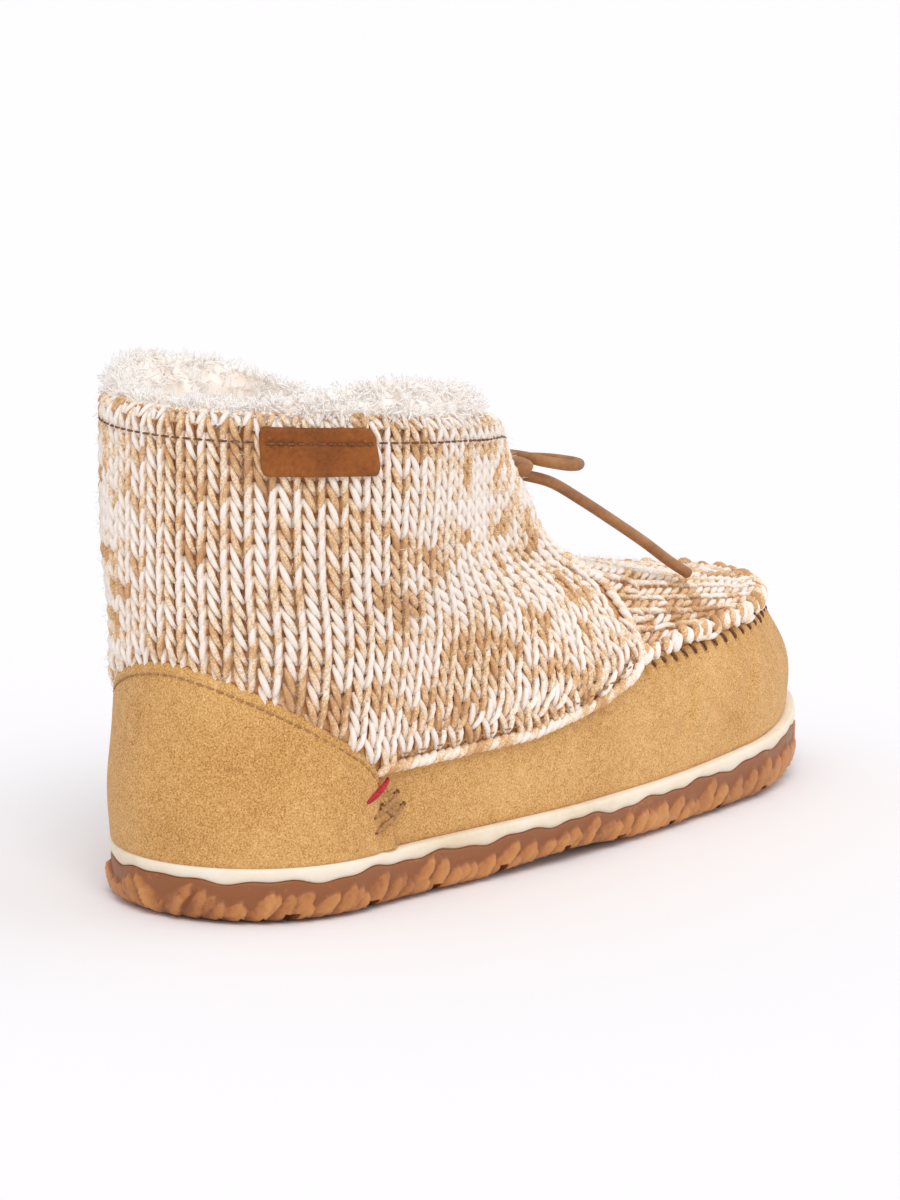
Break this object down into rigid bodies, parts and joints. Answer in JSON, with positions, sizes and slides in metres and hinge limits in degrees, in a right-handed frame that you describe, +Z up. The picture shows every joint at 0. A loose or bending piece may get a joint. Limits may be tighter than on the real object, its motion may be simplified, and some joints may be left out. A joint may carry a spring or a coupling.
{
  "type": "mukluk boot",
  "caption": "Low fleece-lined mukluk boot for the right foot: suede moccasin foot, knitted shaft and plug, rubber sole, leather lace tied in a bow, empty and unbent.",
  "frame": {"origin": "centre of the bounding box of the boot without its lace cords, on the plane it stands on", "axes": "+X from heel to toe, +Y to the boot's inner (medial) side, +Z up"},
  "size_m": [0.263, 0.094, 0.133],
  "materials": {
    "gum_rubber": "matte gum rubber",
    "cream_rubber": "matte cream rubber",
    "insole_fleece": "short fleece",
    "suede": "brushed suede",
    "knit": "thick marled wool knit",
    "fleece": "deep wool fleece",
    "label_leather": "smooth brown leather",
    "lace_leather": "waxed leather cord"
  },
  "bodies": {
    "root": {"outsole": "gum_rubber", "midsole": "cream_rubber", "insole": "insole_fleece", "upper": "suede", "heel_counter": "suede", "shaft": "knit", "vamp_and_tongue": "knit", "collar_fleece": "fleece", "label_tab": "label_leather", "lace_bar": "lace_leather", "lace_knot": "lace_leather", "lace_loop_lateral": "lace_leather", "lace_loop_medial": "lace_leather", "lace_end_lateral": "lace_leather", "lace_end_medial": "lace_leather"}
  },
  "joints": []
}
